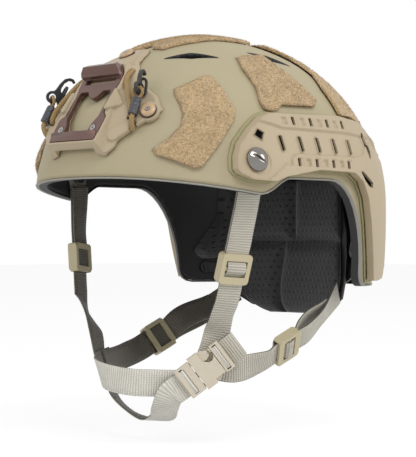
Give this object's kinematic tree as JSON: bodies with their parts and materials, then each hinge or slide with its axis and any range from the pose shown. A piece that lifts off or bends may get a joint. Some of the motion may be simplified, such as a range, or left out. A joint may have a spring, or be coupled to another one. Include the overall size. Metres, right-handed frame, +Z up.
{
  "type": "combat helmet",
  "caption": "Tan combat helmet with front shroud, side rails, loop panels, pads, nape cradle with fit dial, and a four-point chin strap with side-release buckle.",
  "frame": {"origin": "centre of the head opening at the level of the brow edge", "axes": "wearer faces -Y, +X is the wearer's left, +Z is up"},
  "size_m": [0.2402, 0.279, 0.2982],
  "materials": {
    "shell_tan": "matte coated",
    "seal_grey": "matte",
    "mesh_black": "fine mesh",
    "liner_black": "moulded foam",
    "pad_fabric": "perforated knit",
    "loop_brown": "loop pile",
    "moulded_tan": "satin moulded",
    "insert_bronze": "satin anodised",
    "steel_bright": "turned",
    "button_tan": "satin",
    "plastic_black": "satin",
    "cord_ochre": "braided",
    "sleeve_rubber": "shrunk tube",
    "gasket_olive": "matte",
    "bolt_dark": "polished dark",
    "loop_tan": "loop pile",
    "web_light": "ribbed webbing",
    "web_olive": "ribbed webbing",
    "buckle_tan": "satin moulded"
  },
  "bodies": {
    "helmet": {"shell": "shell_tan", "edge_seal": "seal_grey", "vent_screens": "mesh_black", "impact_liner": "liner_black", "front_pad": "pad_fabric", "crown_pad": "pad_fabric", "side_pad_left": "pad_fabric", "side_pad_right": "pad_fabric", "rear_side_pad_left": "pad_fabric", "rear_side_pad_right": "pad_fabric", "liner_loop_tabs": "loop_brown", "shroud_base": "moulded_tan", "shroud_insert": "insert_bronze", "insert_screws": "steel_bright", "shroud_buttons": "button_tan", "button_washers": "plastic_black", "button_screws": "steel_bright", "cord_runs": "cord_ochre", "rail_left": "moulded_tan", "rail_right": "moulded_tan", "rail_gasket_left": "gasket_olive", "rail_gasket_right": "gasket_olive", "rail_bolts": "bolt_dark", "strap_nuts": "plastic_black", "rail_rear_screws": "plastic_black", "chevron_loop_left": "loop_tan", "chevron_loop_right": "loop_tan", "rear_side_loop_left": "loop_tan", "rear_side_loop_right": "loop_tan", "top_loop_panel": "loop_tan", "rear_loop_panel": "loop_tan", "front_strap_left": "web_light", "front_strap_right": "web_olive", "front_strap_tail_left": "web_light", "front_strap_tail_right": "web_olive", "rear_strap_left": "web_light", "rear_strap_right": "web_olive", "rear_strap_tails": "web_olive", "chin_strap_upper": "web_light", "chin_strap_lower": "web_light", "buckle_loop": "web_light", "buckle_socket": "buckle_tan", "adjust_band_left": "plastic_black", "adjust_band_right": "plastic_black"},
    "buckle_male": {"buckle_plug": "buckle_tan", "buckle_prongs": "buckle_tan"},
    "cradle": {"nape_plate": "plastic_black", "nape_pad": "pad_fabric", "dial_housing": "plastic_black"},
    "dial": {"dial_knob": "plastic_black"},
    "front_slide_left": {"front_adjuster_left": "buckle_tan"},
    "front_slide_right": {"front_adjuster_right": "buckle_tan"},
    "rear_slide_left": {"rear_adjuster_left": "buckle_tan"},
    "rear_slide_right": {"rear_adjuster_right": "buckle_tan"},
    "hook_left": {"cord_loop_left": "cord_ochre", "cord_sleeve_left": "sleeve_rubber", "cord_hook_left": "plastic_black"},
    "hook_right": {"cord_loop_right": "cord_ochre", "cord_sleeve_right": "sleeve_rubber", "cord_hook_right": "plastic_black"}
  },
  "joints": [
    {"name": "buckle_release", "type": "slide", "parent": "helmet", "child": "buckle_male", "axis": [-0.5133, -0.6118, -0.6018], "range_m": [0, 0.026], "deforming": ["buckle_prongs", "chin_strap_upper", "chin_strap_lower"]},
    {"name": "cradle_slide", "type": "slide", "parent": "helmet", "child": "cradle", "axis": [0, -1, 0], "range_m": [0, 0.012], "deforming": ["adjust_band_left", "adjust_band_right", "rear_strap_left", "rear_strap_right", "rear_strap_tails"]},
    {"name": "dial_turn", "type": "hinge", "parent": "cradle", "child": "dial", "pos_m": [0, 0.1195, -0.086], "axis": [0, 1, 0], "range_deg": [0, 360]},
    {"name": "front_slide_left_move", "type": "slide", "parent": "helmet", "child": "front_slide_left", "axis": [-0.2833, 0, -0.959], "range_m": [-0.009, 0.009]},
    {"name": "front_slide_right_move", "type": "slide", "parent": "helmet", "child": "front_slide_right", "axis": [0.135, -0.045, -0.9898], "range_m": [-0.009, 0.009]},
    {"name": "rear_slide_left_move", "type": "slide", "parent": "helmet", "child": "rear_slide_left", "axis": [-0.09, -0.9099, -0.4049], "range_m": [-0.009, 0.009]},
    {"name": "rear_slide_right_move", "type": "slide", "parent": "helmet", "child": "rear_slide_right", "axis": [0.0601, -0.9309, -0.3603], "range_m": [-0.009, 0.009]},
    {"name": "hook_left_swing", "type": "hinge", "parent": "helmet", "child": "hook_left", "pos_m": [0.04926, -0.1168, 0.0347], "axis": [0.928, 0.367, -0.0646], "range_deg": [0, 60], "stiffness_Nm_per_rad": 0.05, "deforming": ["cord_loop_left"]},
    {"name": "hook_right_swing", "type": "hinge", "parent": "helmet", "child": "hook_right", "pos_m": [-0.04926, -0.1168, 0.0347], "axis": [0.928, -0.367, 0.0646], "range_deg": [0, 60], "stiffness_Nm_per_rad": 0.05, "deforming": ["cord_loop_right"]}
  ],
  "couplings": [
    {"joint": "dial_turn", "follows": "cradle_slide", "rad_per_m": 523}
  ]
}
